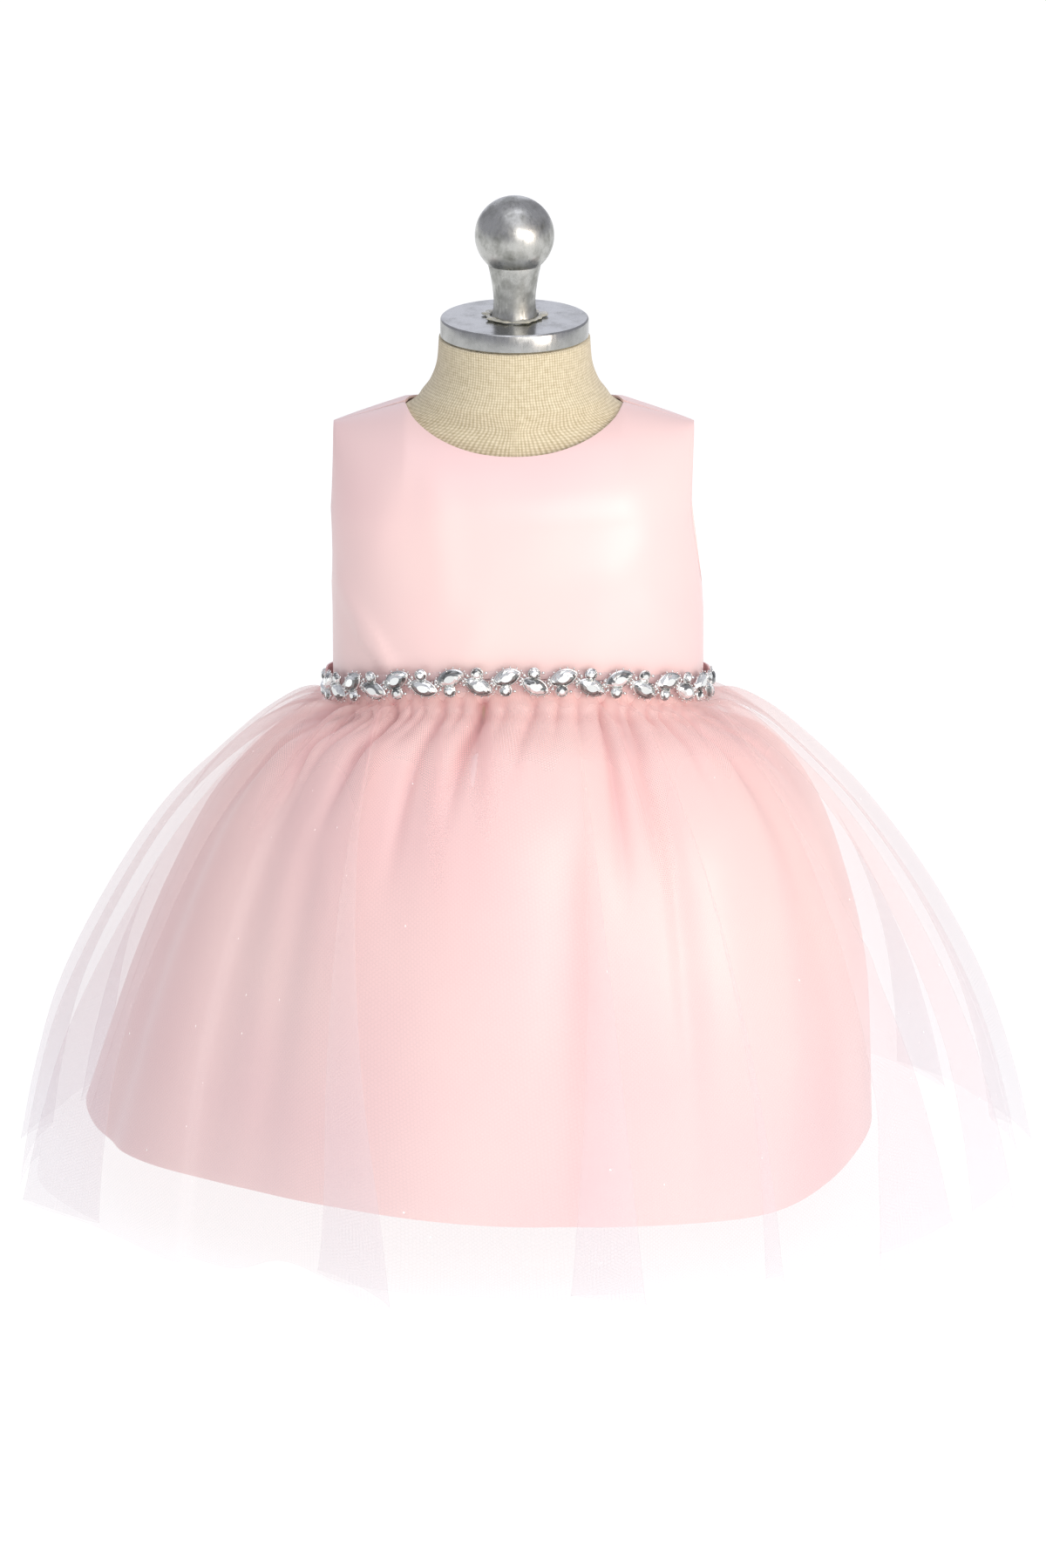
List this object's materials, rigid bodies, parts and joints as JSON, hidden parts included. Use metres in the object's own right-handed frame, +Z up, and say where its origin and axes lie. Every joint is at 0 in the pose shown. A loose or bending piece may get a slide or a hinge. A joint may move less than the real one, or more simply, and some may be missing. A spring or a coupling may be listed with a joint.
{
  "type": "pageant dress on a limbless dress form",
  "caption": "Baby's sleeveless pageant dress, satin bodice and skirt under gathered tulle, crystal belt and sash tied behind, worn on a limbless dress form with a knob.",
  "frame": {"origin": "centre of the underside of the stand's base, where it rests on the floor", "axes": "+Z up, +X to the viewer's right of the dress front, -Y out of the front"},
  "size_m": [0.4969, 0.4349, 0.4933],
  "materials": {
    "satin": "pearly pink satin",
    "tulle": "sheer blush tulle with a few glitter specks",
    "crystal": "clear cut crystals in silver settings",
    "linen": "cream stretch linen",
    "polished_metal": "polished cast aluminium",
    "stand_metal": "chromed steel"
  },
  "bodies": {
    "root": {"bodice_front": "satin", "bodice_back_left": "satin", "bodice_back_right": "satin", "satin_skirt_front": "satin", "satin_skirt_back": "satin", "tulle_skirt_front": "tulle", "tulle_skirt_back": "tulle", "sash_left": "satin", "sash_right": "satin", "crystal_trim": "crystal", "bow_loop_left": "satin", "bow_loop_right": "satin", "bow_knot": "satin", "bow_tail_left": "satin", "bow_tail_right": "satin", "button_1": "satin", "button_2": "satin", "button_3": "satin", "button_4": "satin", "form_bust": "linen", "form_neck_cap": "polished_metal", "form_finial": "polished_metal", "stand_pole": "stand_metal", "stand_base": "stand_metal"}
  },
  "joints": []
}
